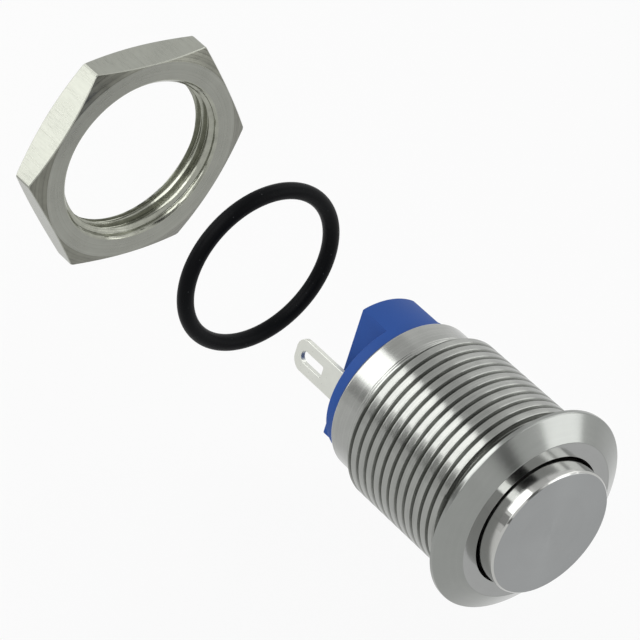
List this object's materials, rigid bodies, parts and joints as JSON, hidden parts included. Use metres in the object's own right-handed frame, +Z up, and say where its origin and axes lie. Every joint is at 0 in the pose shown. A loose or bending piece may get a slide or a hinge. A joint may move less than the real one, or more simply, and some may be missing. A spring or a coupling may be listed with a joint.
{
  "type": "anti vandal push button",
  "caption": "Metal push button with a raised flat cap, threaded barrel and two solder lugs, with its hexagon nut and sealing ring laid out behind it on the same axis.",
  "frame": {"origin": "centre of the panel hole, in the plane of the flange's rear face that seats on the panel", "axes": "+Y runs along the button's axis from the cap to the solder lugs and on to the nut, +Z is up and +X is to the right seen from the front; the lugs lie side by side along X"},
  "size_m": [0.0172, 0.0449, 0.0162],
  "materials": {
    "stainless": "satin turned",
    "button_steel": "satin turned face, polished side",
    "nickel_plate": "nickel plated",
    "spring_steel": "drawn wire and strip",
    "bush_brass": "machined",
    "contact_silver": "bright",
    "terminal_silver": "matt silver plated",
    "blue_moulding": "semi-matt moulded",
    "white_moulding": "moulded",
    "black_rubber": "satin moulded",
    "seal_rubber": "moulded"
  },
  "bodies": {
    "switch": {"bezel_housing": "stainless", "guide_bush": "bush_brass", "shaft_seal": "seal_rubber", "seal_washer": "button_steel", "return_spring": "spring_steel", "rear_base": "blue_moulding", "base_gasket": "black_rubber", "terminal_left": "terminal_silver", "terminal_right": "terminal_silver", "fixed_contact_left": "contact_silver", "fixed_contact_right": "contact_silver"},
    "button": {"button_cap": "button_steel", "stem_clip": "spring_steel", "contact_carrier": "white_moulding", "bridge_clip": "spring_steel", "contact_spring": "spring_steel"},
    "bridge": {"contact_bridge": "bush_brass", "moving_contact_left": "contact_silver", "moving_contact_right": "contact_silver"},
    "sealing_ring": {"panel_o_ring": "black_rubber"},
    "nut": {"lock_nut": "nickel_plate"}
  },
  "joints": [
    {"name": "press", "type": "slide", "parent": "switch", "child": "button", "axis": [0, 1, 0], "range_m": [0, 0.0012], "stiffness_N_per_m": 1200, "springref_m": -0.0012, "deforming": ["return_spring"]},
    {"name": "contact_overtravel", "type": "slide", "parent": "button", "child": "bridge", "axis": [0, -1, 0], "range_m": [0, 0.0003], "deforming": ["contact_spring"]},
    {"name": "ring_slide", "type": "slide", "parent": "switch", "child": "sealing_ring", "axis": [0, -1, 0], "range_m": [0, 0.0263], "deforming": ["panel_o_ring"]},
    {"name": "nut_slide", "type": "slide", "parent": "sealing_ring", "child": "nut", "axis": [0, -1, 0], "range_m": [0, 0.01195]}
  ],
  "couplings": [
    {"joint": "contact_overtravel", "follows": "press", "ratio": 0.25}
  ]
}
